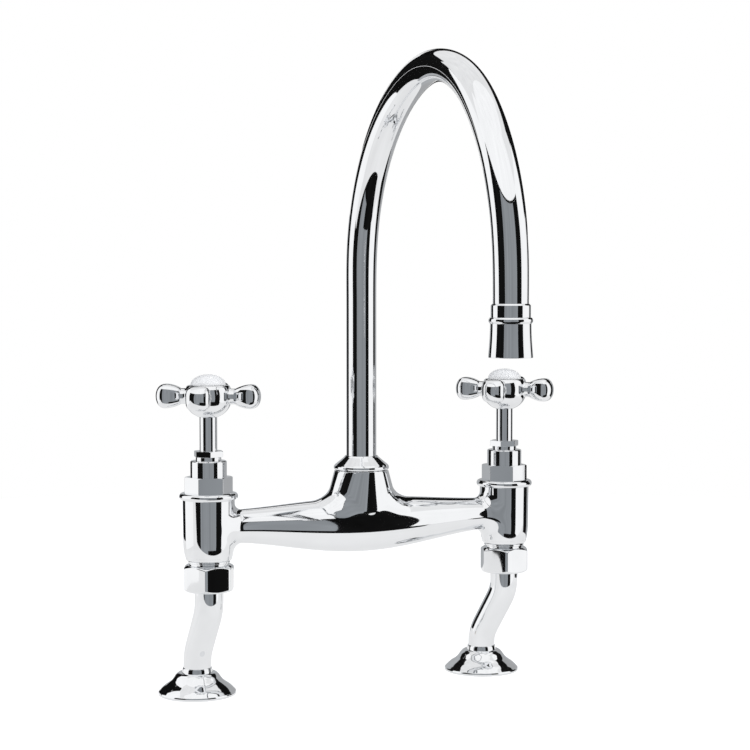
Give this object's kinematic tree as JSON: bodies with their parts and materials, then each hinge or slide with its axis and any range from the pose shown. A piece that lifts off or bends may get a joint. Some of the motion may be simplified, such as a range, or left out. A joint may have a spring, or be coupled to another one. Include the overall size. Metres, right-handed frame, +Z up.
{
  "type": "bridge kitchen faucet",
  "caption": "Deck-mounted bridge kitchen faucet with a tall swivelling gooseneck spout, crosshead handles and cranked legs.",
  "frame": {"origin": "on the spout's swivel axis, level with the worktop's upper surface", "axes": "+Z up along the spout's swivel axis; -Y forward to the outlet; -X towards the hot valve"},
  "size_m": [0.2596, 0.2639, 0.4393],
  "materials": {
    "chrome": "polished chrome plate on brass",
    "brass": "plain machined",
    "steel": "plain",
    "rubber": "matt",
    "fibre": "compressed fibre",
    "white_plastic": "moulded",
    "ceramic": "lapped",
    "porcelain": "glazed"
  },
  "bodies": {
    "bridge": {"bridge_body": "chrome", "spout_collar": "chrome", "thrust_washers": "white_plastic", "hot_bonnet": "chrome", "hot_bonnet_ring": "rubber", "hot_gland_nut": "chrome", "hot_gland_seal": "rubber", "hot_seat_seal": "rubber", "hot_fixed_disc": "ceramic", "hot_union_nut": "chrome", "hot_union_washer": "fibre", "cold_bonnet": "chrome", "cold_bonnet_ring": "rubber", "cold_gland_nut": "chrome", "cold_gland_seal": "rubber", "cold_seat_seal": "rubber", "cold_fixed_disc": "ceramic", "cold_union_nut": "chrome", "cold_union_washer": "fibre"},
    "spout": {"spout_tube": "chrome", "spout_spigot": "brass", "spout_seal_rings": "rubber", "outlet_sleeve": "chrome", "outlet_shroud": "chrome", "aerator": "white_plastic", "aerator_seal": "rubber"},
    "hot_handle_set": {"hot_spindle": "chrome", "hot_moving_disc": "ceramic", "hot_handle": "chrome", "hot_handle_screw": "brass", "hot_handle_cap": "porcelain"},
    "hot_leg_set": {"hot_leg": "chrome", "hot_tail": "brass", "hot_deck_flange": "chrome", "hot_shoulder_gasket": "rubber", "hot_deck_gasket": "rubber", "hot_clamp_washer": "steel", "hot_backnut": "brass"},
    "cold_handle_set": {"cold_spindle": "chrome", "cold_moving_disc": "ceramic", "cold_handle": "chrome", "cold_handle_screw": "brass", "cold_handle_cap": "porcelain"},
    "cold_leg_set": {"cold_leg": "chrome", "cold_tail": "brass", "cold_deck_flange": "chrome", "cold_shoulder_gasket": "rubber", "cold_deck_gasket": "rubber", "cold_clamp_washer": "steel", "cold_backnut": "brass"}
  },
  "joints": [
    {"name": "spout_swivel", "type": "hinge", "parent": "bridge", "child": "spout", "pos_m": [0, 0, 0.1388], "axis": [0, 0, 1], "continuous": true},
    {"name": "hot_valve_turn", "type": "hinge", "parent": "bridge", "child": "hot_handle_set", "pos_m": [-0.1015, 0, 0.175], "axis": [0, 0, 1], "range_deg": [0, 90]},
    {"name": "cold_valve_turn", "type": "hinge", "parent": "bridge", "child": "cold_handle_set", "pos_m": [0.1015, 0, 0.175], "axis": [0, 0, 1], "range_deg": [-90, 0]},
    {"name": "hot_union_swivel", "type": "hinge", "parent": "bridge", "child": "hot_leg_set", "pos_m": [-0.1015, 0, 0.0735], "axis": [0, 0, 1], "range_deg": [-90, 90]},
    {"name": "cold_union_swivel", "type": "hinge", "parent": "bridge", "child": "cold_leg_set", "pos_m": [0.1015, 0, 0.0735], "axis": [0, 0, 1], "range_deg": [-90, 90]}
  ]
}
